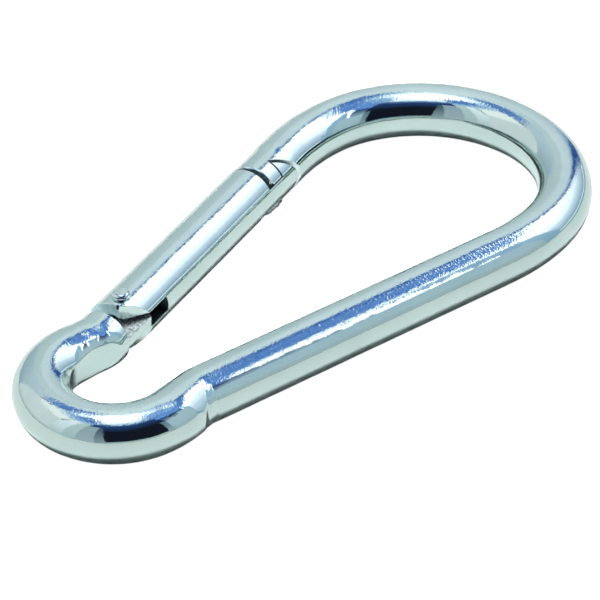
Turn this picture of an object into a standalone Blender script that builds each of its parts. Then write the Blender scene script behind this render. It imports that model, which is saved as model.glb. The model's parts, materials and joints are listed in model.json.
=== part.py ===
"""Spring snap hook, 180 mm long, bent from 14 mm round bar.

The hook lies flat on Z = 0. X runs from the small eye (-X) to the large bow (+X), and the
gate is the leg on the +Y side. The gate leg has a frame of its own, with its origin on the
hinge rivet's axis at mid-bar height: there x runs along the gate towards the nose, y points
out of the hook, and z points up. Lengths are in metres and angles in degrees.
"""
import math

import bpy
import bmesh
from mathutils import Matrix, Vector

# Driving dimensions of the bent bar
LENGTH = 0.180
BAR_R = 0.007
BOW_TIP_R = 0.0357          # centre line radius over the end of the bow
BOW_SIDE_R = 0.0559         # centre line radius where the bow runs into a leg
BOW_TIP_HALF_ANGLE = 84.6
LEG_ANGLE = 11.68           # each leg's slope to the X axis
EYE_R = 0.01706             # centre line radius of the eye
EYE_Y = 0.0008
GATE_KNEE_X = -0.0549       # where the eye's flared ends kink into the legs
SPINE_KNEE_X = -0.0560
KNEE_R = 0.0080
BAR_SIDES = 24

# Hinge, in the gate's frame
RIVET_X = -0.0449           # the rivet's place along the row's X axis
SHOULDER_X = -0.0076        # the full round bar ends here, and the tongue begins
TONGUE_LOW_Z = -0.00085
TONGUE_HIGH_Z = 0.0015
TONGUE_END_X = 0.0052
TONGUE_END_HALF = 0.0041
TONGUE_CORNER = 0.0026      # length of the corners cut off the tongue's end
TONGUE_INNER_Y = -0.0067
TONGUE_OUTER_Y = 0.0064
SLOT_LOW_Z = -0.00115
SLOT_HIGH_Z = 0.0027
SLOT_INNER_X = 0.0103       # the slot's end on the inner and on the outer side of the gate
SLOT_OUTER_X = 0.0070
RIVET_R = 0.00175
RIVET_HOLE_R = 0.00205
RIVET_HEAD_R = 0.00225
RIVET_HEAD_LOW_Z = 0.0073
RIVET_HEAD_HIGH_Z = 0.0082
RIVET_HEAD_STEP = 0.0003    # how much narrower the head's upper step begins, and how far
RIVET_HEAD_TAPER = 0.0003   # it then tapers to the top
RIVET_SIDES = 20

# Gate bar, in the gate's frame
GATE_BACK_X = -0.0039
GATE_TIP_X = 0.0747
RELIEF_START = (-0.0041, -0.0015)
RELIEF_SLOPE = -0.75
RELIEF_REACH = 0.012
BORE_R = 0.0031
BORE_Z = 0.00077
BORE_END_X = 0.0390

# Nose lock, in the gate's frame
NOSE_R = 0.0067
NOSE_TAPER_START_X = 0.0760
NOSE_TAPER_END_X = 0.0720
NOSE_FACE_X = 0.0637
NOSE_FACE_HIGH_Y = -0.0005  # the face is square to the gate below this
NOSE_LIP_X = 0.0625
NOSE_LIP_LOW_Y = 0.0025
NOSE_LIP_SLANT = 0.0004
BARB_BACK_X = 0.06845
BARB_Y = -0.00595
BARB_CHAMFER = 0.0010
NOTCH_ROOT = (0.0690, -0.0016)
NOTCH_ROOT_DROP = 0.0005
NOTCH_SLOPE = -0.70
RECESS_START_X = 0.0618
RECESS_FLOOR_Y = -0.00625
TOOTH_FACE_X = 0.06875
TOOTH_TOP_Y = -0.0029
TOOTH_BACK_SLOPE = -0.63

# Thrust pin and spring in the gate's bore
RUNNING_GAP = 0.0003
PIN_TIP_R = 0.0020
PIN_HEAD_R = 0.00275
PIN_HEAD_LENGTH = 0.0040
PIN_CONE_LENGTH = 0.0009
PIN_STEM_R = 0.0012
PIN_STEM_LENGTH = 0.0145
PIN_SIDES = 16
SPRING_WIRE_R = 0.0004
SPRING_MEAN_R = 0.00215
SPRING_TURNS = 12
SPRING_STEPS_PER_TURN = 12
SPRING_WIRE_SIDES = 6

BEYOND = 0.004              # how far a cutter reaches past the surface it opens


def direction(angle):
    """Unit vector in the XY plane."""
    return Vector((math.cos(math.radians(angle)), math.sin(math.radians(angle))))


def arc(centre, radius, start, end, parts):
    """Corners of the open polygon whose middles of sides touch the arc."""
    step = (end - start) / parts
    corner_radius = radius / math.cos(math.radians(step / 2))
    return [centre + corner_radius * direction(start + (i + 0.5) * step) for i in range(parts)]


def rounded_corner(before, corner, after, radius, parts):
    """Arc of the given radius that replaces a corner of a path."""
    into = (corner - before).normalized()
    out = (after - corner).normalized()
    turn = into.angle_signed(out)
    side = Vector((into.y, -into.x)) * math.copysign(1, turn)
    centre = corner - into * radius * math.tan(abs(turn) / 2) + side * radius
    start = math.degrees(math.atan2(-side.y, -side.x))
    return arc(centre, radius, start, start - math.degrees(turn), parts)


def leg_point(x, side):
    """Point on a leg's centre line: side is 1 for the gate leg and -1 for the spine."""
    rise = (x - leg_start(side).x) * math.tan(math.radians(LEG_ANGLE))
    return Vector((x, leg_start(side).y + side * rise))


def bow_centre():
    return Vector((LENGTH / 2 - BAR_R - BOW_TIP_R, 0))


def bow_side_centre(side):
    return bow_centre() - (BOW_SIDE_R - BOW_TIP_R) * direction(side * BOW_TIP_HALF_ANGLE)


def leg_start(side):
    """Where the bow's arc runs into a leg."""
    return bow_side_centre(side) + BOW_SIDE_R * direction(side * (90 + LEG_ANGLE))


def eye_centre():
    return Vector((-LENGTH / 2 + BAR_R + EYE_R, EYE_Y))


def eye_tangent_angle(knee, side):
    """Angle on the eye's circle of the tangent that runs to a knee."""
    offset = knee - eye_centre()
    bearing = math.degrees(math.atan2(offset.y, offset.x))
    return bearing + side * math.degrees(math.acos(EYE_R / offset.length))


def gate_frame():
    place = leg_point(RIVET_X, 1)
    move = Matrix.Translation((place.x, place.y, BAR_R))
    return move @ Matrix.Rotation(math.radians(LEG_ANGLE), 4, "Z")


def on_gate_leg(x):
    point = gate_frame() @ Vector((x, 0, 0))
    return Vector((point.x, point.y))


def bar_path():
    """Centre line of the bent bar from the hinge shoulder round to the nose, with its radii."""
    gate_knee = leg_point(GATE_KNEE_X, 1)
    spine_knee = leg_point(SPINE_KNEE_X, -1)
    gate_tangent = eye_tangent_angle(gate_knee, 1)
    spine_tangent = eye_tangent_angle(spine_knee, -1) + 360
    eye_to_gate = eye_centre() + EYE_R * direction(gate_tangent)
    eye_to_spine = eye_centre() + EYE_R * direction(spine_tangent)
    shoulder = on_gate_leg(SHOULDER_X)
    points = [shoulder]
    points += rounded_corner(shoulder, gate_knee, eye_to_gate, KNEE_R, 3)
    points += arc(eye_centre(), EYE_R, gate_tangent, 180, 10)
    points += arc(eye_centre(), EYE_R, 180, spine_tangent, 9)
    points += rounded_corner(eye_to_spine, spine_knee, leg_start(-1), KNEE_R, 2)
    points += arc(bow_side_centre(-1), BOW_SIDE_R, -90 - LEG_ANGLE, -BOW_TIP_HALF_ANGLE, 3)
    points += arc(bow_centre(), BOW_TIP_R, -BOW_TIP_HALF_ANGLE, 0, 11)
    points += arc(bow_centre(), BOW_TIP_R, 0, BOW_TIP_HALF_ANGLE, 11)
    points += arc(bow_side_centre(1), BOW_SIDE_R, BOW_TIP_HALF_ANGLE, 90 + LEG_ANGLE, 3)
    radii = [BAR_R] * len(points)
    nose_end = NOSE_LIP_X - BEYOND / 4
    for x, radius in ((NOSE_TAPER_START_X, BAR_R), (NOSE_TAPER_END_X, NOSE_R), (nose_end, NOSE_R)):
        points.append(on_gate_leg(x))
        radii.append(radius)
    return points, radii


def make_object(name, mesh_data, parent=None):
    """Turn a bmesh into a named object with its faces pointing out."""
    bmesh.ops.recalc_face_normals(mesh_data, faces=mesh_data.faces)
    mesh = bpy.data.meshes.new(name)
    mesh_data.to_mesh(mesh)
    mesh_data.free()
    mesh.shade_smooth()
    mesh.set_sharp_from_angle(angle=math.radians(35))
    made = bpy.data.objects.new(name, mesh)
    bpy.context.collection.objects.link(made)
    made.parent = parent
    return made


def skin(name, rings, parent=None):
    """Closed solid through rings of points that follow each other."""
    data = bmesh.new()
    loops = [[data.verts.new(point) for point in ring] for ring in rings]
    count = len(rings[0])
    for one, other in zip(loops, loops[1:]):
        for i in range(count):
            j = (i + 1) % count
            data.faces.new((one[i], one[j], other[j], other[i]))
    data.faces.new(loops[0])
    data.faces.new(loops[-1])
    return make_object(name, data, parent)


def bent_bar(name):
    """Round bar along the hook's centre line, with a flat strip facing each main direction."""
    points, radii = bar_path()
    flat = 1 / math.cos(math.pi / BAR_SIDES)
    rings = []
    for i, point in enumerate(points):
        into = (point - points[max(i - 1, 0)]).normalized()
        out = (points[min(i + 1, len(points) - 1)] - point).normalized()
        along = (into + out).normalized()
        stretch = 1 / max(along.dot(into), along.dot(out))
        across = Vector((-along.y, along.x, 0)) * stretch
        ring = []
        for k in range(BAR_SIDES):
            angle = (k + 0.5) * 2 * math.pi / BAR_SIDES
            offset = across * math.cos(angle) + Vector((0, 0, math.sin(angle)))
            ring.append(Vector((point.x, point.y, BAR_R)) + offset * radii[i] * flat)
        rings.append(ring)
    return skin(name, rings)


def turned(name, stations, axis, parent, sides=BAR_SIDES, offset_z=0.0):
    """Turned piece from (distance along the axis, radius) stations; axis is "X" or "Z"."""
    rings = []
    for distance, radius in stations:
        ring = []
        for k in range(sides):
            angle = (k + 0.5) * 2 * math.pi / sides
            a, b = radius * math.cos(angle), radius * math.sin(angle)
            place = (distance, a, b + offset_z) if axis == "X" else (a, b, distance)
            ring.append(Vector(place))
        rings.append(ring)
    return skin(name, rings, parent)


def prism(name, outline, low_z, high_z, parent):
    """Outline in the gate's xy plane, carried from low_z to high_z."""
    rings = [[Vector((x, y, z)) for x, y in outline] for z in (low_z, high_z)]
    return skin(name, rings, parent)


def combine(target, tool, operation):
    """Cut, or join, one object with another that is left out of the model."""
    tool.hide_render = True
    tool.display_type = "WIRE"
    modifier = target.modifiers.new(tool.name, "BOOLEAN")
    modifier.operation = operation
    modifier.solver = "EXACT"
    modifier.object = tool


def tongue_outline():
    """Flat hinge tongue, seen along the rivet: a straight end with its corners cut off."""
    root_x = SHOULDER_X - BEYOND / 2
    corner_x = TONGUE_END_X - TONGUE_CORNER
    return [
        (root_x, TONGUE_INNER_Y), (corner_x, TONGUE_INNER_Y),
        (TONGUE_END_X, -TONGUE_END_HALF), (TONGUE_END_X, TONGUE_END_HALF),
        (corner_x, TONGUE_OUTER_Y), (root_x, TONGUE_OUTER_Y),
    ]


def nose_cut_outline():
    """What is cut from the end of the bar to leave the barb and the notch behind it."""
    back = BAR_R + BEYOND
    notch_mouth_x = NOTCH_ROOT[0] + (-back - NOTCH_ROOT[1]) / NOTCH_SLOPE
    far = NOSE_LIP_X - BEYOND
    return [
        (far, -back), (far, back),
        (NOSE_LIP_X - NOSE_LIP_SLANT, back), (NOSE_LIP_X + NOSE_LIP_SLANT, NOSE_LIP_LOW_Y),
        (NOSE_FACE_X, NOSE_FACE_HIGH_Y), (NOSE_FACE_X, BARB_Y + BARB_CHAMFER),
        (NOSE_FACE_X + BARB_CHAMFER, BARB_Y), (BARB_BACK_X, BARB_Y),
        (BARB_BACK_X, NOTCH_ROOT[1] - NOTCH_ROOT_DROP), NOTCH_ROOT, (notch_mouth_x, -back),
    ]


def recess_outline():
    """What is cut from the gate's tip to leave the thin floor and the hooked tooth."""
    back = BAR_R + BEYOND
    tip = GATE_TIP_X + BEYOND
    tooth_low = TOOTH_TOP_Y + (tip - TOOTH_FACE_X) * TOOTH_BACK_SLOPE
    return [
        (RECESS_START_X, back), (RECESS_START_X, RECESS_FLOOR_Y),
        (TOOTH_FACE_X, RECESS_FLOOR_Y), (TOOTH_FACE_X, TOOTH_TOP_Y),
        (tip, tooth_low), (tip, back),
    ]


def slot_outline():
    back = BAR_R + BEYOND
    lean = (SLOT_OUTER_X - SLOT_INNER_X) / (2 * BAR_R) * BEYOND
    start = GATE_BACK_X - BEYOND
    return [(start, -back), (SLOT_INNER_X - lean, -back), (SLOT_OUTER_X + lean, back), (start, back)]


def relief_outline():
    """Oblique cut that frees the gate's inner heel from the eye as the gate swings in."""
    start_x, start_y = RELIEF_START
    first = (start_x - BEYOND, start_y - BEYOND * RELIEF_SLOPE)
    last = (start_x + RELIEF_REACH, start_y + RELIEF_REACH * RELIEF_SLOPE)
    return [first, last, (first[0], last[1])]


def make_hook_body(pivot):
    body = bent_bar("hook_body")
    tongue = prism("tongue_join", tongue_outline(), TONGUE_LOW_Z, TONGUE_HIGH_Z, pivot)
    combine(body, tongue, "UNION")
    reach = BAR_R + BEYOND
    combine(body, prism("nose_cut", nose_cut_outline(), -reach, reach, pivot), "DIFFERENCE")
    hole = turned("tongue_hole", [(-reach, RIVET_HOLE_R), (reach, RIVET_HOLE_R)], "Z", pivot)
    combine(body, hole, "DIFFERENCE")
    return body


def make_gate(pivot):
    flat = BAR_R / math.cos(math.pi / BAR_SIDES)
    gate = turned("gate", [(GATE_BACK_X, flat), (GATE_TIP_X, flat)], "X", pivot)
    reach = BAR_R + BEYOND
    slot = prism("slot_cut", slot_outline(), SLOT_LOW_Z, SLOT_HIGH_Z, pivot)
    bore_stations = [(GATE_BACK_X - BEYOND, BORE_R), (BORE_END_X, BORE_R)]
    bore = turned("bore_cut", bore_stations, "X", pivot, offset_z=BORE_Z)
    relief = prism("relief_cut", relief_outline(), -reach, reach, pivot)
    recess = prism("recess_cut", recess_outline(), -reach, reach, pivot)
    hole = turned("rivet_cut", [(-reach, RIVET_HOLE_R), (reach, RIVET_HOLE_R)], "Z", pivot)
    for cutter in (slot, bore, relief, recess, hole):
        combine(gate, cutter, "DIFFERENCE")
    return gate


def make_rivet(pivot):
    """Shank peened level at its lower end, with a raised two-step head on top."""
    step_z = (RIVET_HEAD_LOW_Z + RIVET_HEAD_HIGH_Z) / 2
    step_r = RIVET_HEAD_R - RIVET_HEAD_STEP
    stations = [
        (RUNNING_GAP - BAR_R, RIVET_R), (RIVET_HEAD_LOW_Z, RIVET_R),
        (RIVET_HEAD_LOW_Z, RIVET_HEAD_R), (step_z, RIVET_HEAD_R),
        (step_z, step_r), (RIVET_HEAD_HIGH_Z, step_r - RIVET_HEAD_TAPER),
    ]
    return turned("hinge_rivet", stations, "Z", pivot, sides=RIVET_SIDES)


def pin_tip_x():
    return TONGUE_END_X + RUNNING_GAP


def make_thrust_pin(pivot):
    tip = pin_tip_x()
    head_end = tip + PIN_HEAD_LENGTH
    stations = [
        (tip, PIN_TIP_R), (tip + PIN_CONE_LENGTH, PIN_HEAD_R), (head_end, PIN_HEAD_R),
        (head_end, PIN_STEM_R), (head_end + PIN_STEM_LENGTH, PIN_STEM_R),
    ]
    return turned("thrust_pin", stations, "X", pivot, sides=PIN_SIDES, offset_z=BORE_Z)


def make_spring(pivot):
    """Helix between the pin's head and the bottom of the bore."""
    start = pin_tip_x() + PIN_HEAD_LENGTH + RUNNING_GAP + SPRING_WIRE_R
    end = BORE_END_X - RUNNING_GAP - SPRING_WIRE_R
    steps = SPRING_TURNS * SPRING_STEPS_PER_TURN
    pitch = (end - start) / SPRING_TURNS
    rings = []
    for i in range(steps + 1):
        turn = 2 * math.pi * i / SPRING_STEPS_PER_TURN
        outward = Vector((0, math.cos(turn), math.sin(turn)))
        tangent = Vector((pitch / (2 * math.pi), 0, 0))
        tangent += SPRING_MEAN_R * Vector((0, -math.sin(turn), math.cos(turn)))
        binormal = tangent.normalized().cross(outward)
        centre = Vector((start + pitch * i / SPRING_STEPS_PER_TURN, 0, BORE_Z))
        centre += outward * SPRING_MEAN_R
        ring = []
        for k in range(SPRING_WIRE_SIDES):
            angle = 2 * math.pi * k / SPRING_WIRE_SIDES
            around = math.cos(angle) * outward + math.sin(angle) * binormal
            ring.append(centre + SPRING_WIRE_R * around)
        rings.append(ring)
    return skin("gate_spring", rings, pivot)


def give_material(target, name, colour, roughness):
    material = bpy.data.materials.new(name)
    material.use_nodes = True
    shader = material.node_tree.nodes["Principled BSDF"]
    shader.inputs["Base Color"].default_value = (*colour, 1)
    shader.inputs["Metallic"].default_value = 1.0
    shader.inputs["Roughness"].default_value = roughness
    target.data.materials.append(material)


def main():
    for old in list(bpy.data.objects):
        bpy.data.objects.remove(old, do_unlink=True)
    pivot = bpy.data.objects.new("gate_pivot", None)
    bpy.context.collection.objects.link(pivot)
    pivot.matrix_world = gate_frame()
    give_material(make_hook_body(pivot), "bright_zinc_body", (0.74, 0.79, 0.80), 0.16)
    give_material(make_gate(pivot), "bright_zinc_gate", (0.75, 0.79, 0.80), 0.18)
    give_material(make_rivet(pivot), "zinc_rivet", (0.66, 0.70, 0.72), 0.28)
    give_material(make_thrust_pin(pivot), "plain_steel_pin", (0.56, 0.57, 0.58), 0.35)
    give_material(make_spring(pivot), "spring_steel", (0.50, 0.51, 0.52), 0.30)


main()
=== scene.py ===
"""Looks of the spring snap hook: fine surfaces, bright zinc finishes, studio and camera.

Lengths are in metres in the row frame, with the hook lying flat on Z = 0. The gate leg has a
frame of its own, with its origin on the hinge rivet's axis at mid-bar height: there x runs
along the gate towards the nose, y points out of the hook, and z points up.
"""
import json
import math

import bpy
import bmesh
from mathutils import Matrix, Vector, noise


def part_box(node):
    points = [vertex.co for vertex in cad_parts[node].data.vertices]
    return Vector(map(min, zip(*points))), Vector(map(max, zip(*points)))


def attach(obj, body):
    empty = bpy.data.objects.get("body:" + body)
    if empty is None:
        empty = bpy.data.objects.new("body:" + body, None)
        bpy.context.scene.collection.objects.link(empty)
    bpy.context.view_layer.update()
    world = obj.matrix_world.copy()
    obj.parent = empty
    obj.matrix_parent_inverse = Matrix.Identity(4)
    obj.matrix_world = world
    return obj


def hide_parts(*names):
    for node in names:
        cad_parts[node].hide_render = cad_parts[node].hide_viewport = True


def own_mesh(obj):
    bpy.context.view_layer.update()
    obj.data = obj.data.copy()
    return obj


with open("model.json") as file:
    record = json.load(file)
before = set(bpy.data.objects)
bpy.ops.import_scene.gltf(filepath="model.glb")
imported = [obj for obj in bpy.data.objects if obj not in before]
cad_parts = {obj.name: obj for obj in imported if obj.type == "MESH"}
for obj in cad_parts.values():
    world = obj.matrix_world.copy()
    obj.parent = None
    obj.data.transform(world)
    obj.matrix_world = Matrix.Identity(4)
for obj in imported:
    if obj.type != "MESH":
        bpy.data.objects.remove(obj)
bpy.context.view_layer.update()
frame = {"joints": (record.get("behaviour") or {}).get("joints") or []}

MM = 0.001
BODY_LOW, BODY_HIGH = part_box("hook_body")
LENGTH = BODY_HIGH.x - BODY_LOW.x
BAR_R = BODY_HIGH.z / 2
HINGE = next(joint for joint in frame["joints"] if joint["name"] == "gate_hinge")

# Centre line of the bent bar
BOW_TIP_R = 0.0357
BOW_SIDE_R = 0.0559
BOW_TIP_HALF_ANGLE = 84.6
LEG_ANGLE = 11.68
EYE_R = 0.01706
EYE_Y = 0.0008
GATE_KNEE_X = -0.0549
SPINE_KNEE_X = -0.0560
KNEE_R = 0.0085
STEP = 0.0009               # distance between rings of the swept bar
FINE_STEP = 0.0003          # the same round the eye and the knees
FINE_END_X = -0.0480
SIDES = 144

# Hinge, in the gate's frame
SHOULDER_X = -0.0076
TONGUE_LOW_Z = -0.00085
TONGUE_HIGH_Z = 0.0015
TONGUE_END_X = 0.0052
TONGUE_END_HALF = 0.0041
TONGUE_CORNER = 0.0026
TONGUE_INNER_Y = -0.0067
TONGUE_OUTER_Y = 0.0064
SLOT_LOW_Z = -0.00115
SLOT_HIGH_Z = 0.0027
SLOT_INNER_X = 0.0103
SLOT_OUTER_X = 0.0070
RIVET_HOLE_R = 0.00205
RIVET_R = 0.00175

# Gate bar and nose lock, in the gate's frame
GATE_BACK_X = -0.0039
GATE_TIP_X = 0.0747
RELIEF_START = (-0.0041, -0.0015)
RELIEF_SLOPE = -0.75
RELIEF_REACH = 0.012
BORE_R = 0.0031
BORE_Z = 0.00077
BORE_END_X = 0.0390
NOSE_R = 0.0067
NOSE_TAPER_START_X = 0.0760
NOSE_TAPER_END_X = 0.0720
NOSE_FACE_X = 0.0637
NOSE_ZONE_X = NOSE_FACE_X - 3 * MM      # from here on the bar has the nose's radius
NOSE_LIP_X = 0.0625
BARB_BACK_X = 0.06857
BARB_Y = -0.00595
BARB_CHAMFER = 0.0010
NOTCH_ROOT = (0.0690, -0.0016)
NOTCH_SLOPE = -0.70
RECESS_START_X = 0.0618
RECESS_FLOOR_Y = -0.00625
RECESS_RIM_LOW_Y = RECESS_FLOOR_Y + 0.3 * MM    # the recess has a rounded rim from here up
TOOTH_FACE_X = 0.06870
TOOTH_TOP_Y = -0.0029
TOOTH_BACK_SLOPE = -0.63
NOSE_LIP_HALF_SLANT = 0.0004
NOSE_LIP_LOW_Y = 0.0025
NOSE_FACE_HIGH_Y = -0.0005
NOTCH_ROOT_DROP = 0.0005
NOSE_LIP_FROM_Y = 0.0015    # above this the nose ends in its lip, below it in its face
NOSE_FINE_RUN = 0.0012      # the rings are closer together from this far before the face
BEYOND = 0.004              # how far a cutter reaches past the surface it opens
RIM_R = 0.00035
GATE_RIM_R = 0.00015
RIM_REACH_PER_DEPTH = 1.5   # a rounded rim reaches this many times as far in as it is deep
SQUARE_ON = 0.98            # least share of a face's normal along the direction it is meant to face
LEVEL = 0.7                 # the same, for telling level faces from upright ones
PAINT_REACH = 0.1 * MM      # how near its plane a face counts as part of the cut
LUMP_PAINT_RISE = 0.06 * MM     # how far a face of the stamped lump stands out at least to get the painted shade
LUMP_START_X = 0.0610
LUMP_END_X = 0.0686
LUMP_RAMP = 0.0012
LUMP_ANGLE = 214.0
LUMP_HALF_WIDTH = 9.0
LUMP_HEIGHT = 0.00055
PIT_PLACE = (-0.0037, -0.0014)
PIT_R = 0.00034
PIT_FLOOR_DEPTH = 0.0012
PIT_CORNERS = ((1, 0), (0.6, 0.8), (-0.2, 1), (-0.9, 0.5), (-0.9, -0.5), (-0.2, -1), (0.6, -0.8))

# Thrust pin and spring
RUNNING_GAP = 0.0003
PIN_HEAD_R = 0.00275
PIN_HEAD_LENGTH = 0.0040
PIN_HEAD_CHAMFER = 0.0002
PIN_STEM_R = 0.0012
PIN_STEM_LENGTH = 0.0145
PIN_STEM_CHAMFER = 0.0003
# Distance from the pin's tip, and radius there
PIN_TIP_PROFILE = (
    (0, 0.0016), (0.0001, 0.0019), (0.0003, 0.0021), (0.0009, 0.00265), (0.0011, PIN_HEAD_R),
)
SPRING_WIRE_R = 0.0004
SPRING_MEAN_R = 0.00215
SPRING_TURNS = 12
SPRING_STEPS_PER_TURN = 40
SPRING_WIRE_SIDES = 16

# Rivet: height above the bar's middle, and radius there
RIVET_LOW_CHAMFER = 0.0002
RIVET_HEAD_PROFILE = (
    (0.0066, RIVET_R), (0.0066, 0.0022), (0.0072, 0.00222), (0.0073, 0.00212),
    (0.00735, 0.0018), (0.00745, 0.0018), (0.0075, 0.00203), (0.0076, 0.0021),
    (0.00775, 0.0021), (0.00785, 0.00205), (0.00806, 0.00182), (0.00817, 0.0016),
    (0.0082, 0.0013),
)

# Noise patterns of the finishes, in features per metre, and the depths of their bumps
DRIFT_RATE = 90.0
GLOSS_RATE = 420.0
PEEL_RATE = 500.0
PEEL_DEPTH = 0.00004
GRAIN_RATE = 1900.0
GRAIN_DEPTH = 0.00005
CUT_GLOSS_RATE = 1500.0
STROKE_RATE = 700.0
STROKE_DEPTH = 0.00004
STROKE_STRETCH = (0.25, 1.0, 6.0)
DENT_RATE = 900.0
DENT_DEPTH = 0.0003
CROWN_LOW_Z = 0.0122        # here the grain of the crown sets in
CROWN_HIGH_Z = 0.0130       # and here it is full
FAINT_GRAIN = 0.1           # share of the grain that is left below the crown
BEVEL_SAMPLES = 6
EDGE_R = 0.00022
ZINC_DARK = (0.50, 0.62, 0.60)
ZINC_LIGHT = (0.56, 0.67, 0.64)
ZINC_ROUGHNESS = (0.03, 0.07)

# Studio
CARD_DISTANCE = 3.0
FRONT_CARD_DISTANCE = CARD_DISTANCE - 0.01
CARD_COLUMNS = 24
CARD_ROWS = 12
MOTTLE_RATE = 7.0
MOTTLE_SPAN = (0.38, 0.62)      # the noise values that give the card's two colours
FLOOR_HALF_SIZE = 4.0
MIRRORED_FLOOR_Z = -0.0001
LAMP_PLACE = (0.05, 0.45, 1.80)
LAMP_SIZE = 0.6
LAMP_POWER = 34.7
LAMP_COLOUR = (0.94, 1.0, 0.99)
WORLD_GREY = 0.80
WORLD_STRENGTH = 0.09

# Camera, looking at a point of the row frame from this azimuth and elevation
CAMERA_AZIMUTH = -49.883
CAMERA_ELEVATION = 35.251
CAMERA_DISTANCE = 0.78444
CAMERA_LENS = 196.31
CAMERA_TARGET = Vector((-0.011388, -0.008913, 0.007))

# Crease and swelling at the spine's knee
CREASE_PLACE = Vector((-0.0602, -0.02285))
CREASE_ANGLE = 51.0
# Distance across the crease, and rise of the skin there, both in millimetres
SPINE_BULGE = ((-2.5, 0.0), (0.0, -0.06), (1.2, 0.42), (3.5, 0.48), (9.0, 0.0))
BULGE_REACH = 0.012
# Where a change starts round the bar, up from its outside, and over how much more it is complete
BULGE_TOP_FADE = (52, 38)
BULGE_WIDENING = (38, 16)
BULGE_WIDENED_BY = 0.78
BULGE_LOW_FADE = (0.35, 0.55)   # here in shares of the bar's radius, downwards
PRESS_PLACE = Vector((-0.0613, -0.0208, 0.01225))
PRESS_NORMAL = Vector((0.12, -0.69, 0.714)).normalized()
PRESS_TOOL_R = 0.014
PRESS_REACH = 0.0055

# Waists beside the knees, the wall in the eye and the waves that forging left
WAIST_X = -0.0580
GATE_WAIST = 0.00025
SPINE_WAIST = 0.00008
WAIST_REACH = 0.0035
EYE_WALL_ANGLE = 84.0
EYE_WALL_DISTANCE = 0.0112
EYE_WALL_MIDDLE = 0.0035
EYE_WALL_CURVE_R = 0.0230
EYE_WALL_END_X = -0.0544
EYE_WALL_CORNER = 103.0
EYE_WALL_CORNER_R = 0.0107
EYE_WALL_START = 20.0
EYE_WALL_FADE = 150.0
ROUGH_PLACE = Vector((-0.0575, 0.0150, 0.0120))
ROUGH_REACH = 0.0075
ROUGH_CORE = 0.4            # share of that reach within which the roughness is full
SKIN_DEPTH = 0.05 * MM      # the bars are this much thinner, which leaves room for their waves
# Height of a wave, and waves per metre
LONG_WAVE = (0.045 * MM, 95)
MIDDLE_WAVE = (0.015 * MM, 260)
ROUGH_WAVE = (0.11 * MM, 330)
GATE_WAVE = (0.04 * MM, 95)
LUMP_WAVE = (0.5, 700)      # here as a share of the lump's height


def direction(angle):
    """Unit vector in the XY plane."""
    return Vector((math.cos(math.radians(angle)), math.sin(math.radians(angle))))


# ---------------------------------------------------------------- centre line

def bow_centre():
    return Vector((LENGTH / 2 - BAR_R - BOW_TIP_R, 0))


def bow_side_centre(side):
    return bow_centre() - (BOW_SIDE_R - BOW_TIP_R) * direction(side * BOW_TIP_HALF_ANGLE)


def leg_start(side):
    """Where the bow's arc runs into a leg."""
    return bow_side_centre(side) + BOW_SIDE_R * direction(side * (90 + LEG_ANGLE))


def leg_point(x, side):
    """Point on a leg's centre line: side is 1 for the gate leg and -1 for the spine."""
    rise = (x - leg_start(side).x) * math.tan(math.radians(LEG_ANGLE))
    return Vector((x, leg_start(side).y + side * rise))


def eye_centre():
    return Vector((-LENGTH / 2 + BAR_R + EYE_R, EYE_Y))


def eye_tangent_angle(knee, side):
    offset = knee - eye_centre()
    bearing = math.degrees(math.atan2(offset.y, offset.x))
    return bearing + side * math.degrees(math.acos(EYE_R / offset.length))


def gate_matrix():
    origin = Vector(HINGE["pos_m"])
    move = Matrix.Translation((origin.x, origin.y, BAR_R))
    return move @ Matrix.Rotation(math.radians(LEG_ANGLE), 4, "Z")


GATE = gate_matrix()


def on_gate_leg(x):
    point = GATE @ Vector((x, 0, 0))
    return Vector((point.x, point.y))


def straight(start, end, step):
    """Points from start up to, and without, end."""
    count = max(1, round((end - start).length / step))
    return [start.lerp(end, i / count) for i in range(count)]


def arc(centre, radius, start, end, step):
    count = max(2, round(abs(math.radians(end - start)) * radius / step))
    return [centre + radius * direction(start + (end - start) * i / count) for i in range(count)]


def rounded_corner(before, corner, after, radius):
    """Arc that replaces a corner of a path, with the points where it leaves the straight runs."""
    into = (corner - before).normalized()
    out = (after - corner).normalized()
    turn = into.angle_signed(out)
    side = Vector((into.y, -into.x)) * math.copysign(1, turn)
    run = radius * math.tan(abs(turn) / 2)
    centre = corner - into * run + side * radius
    start = math.degrees(math.atan2(-side.y, -side.x))
    end = start - math.degrees(turn)
    return corner - into * run, corner + out * run, arc(centre, radius, start, end, FINE_STEP)


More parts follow.
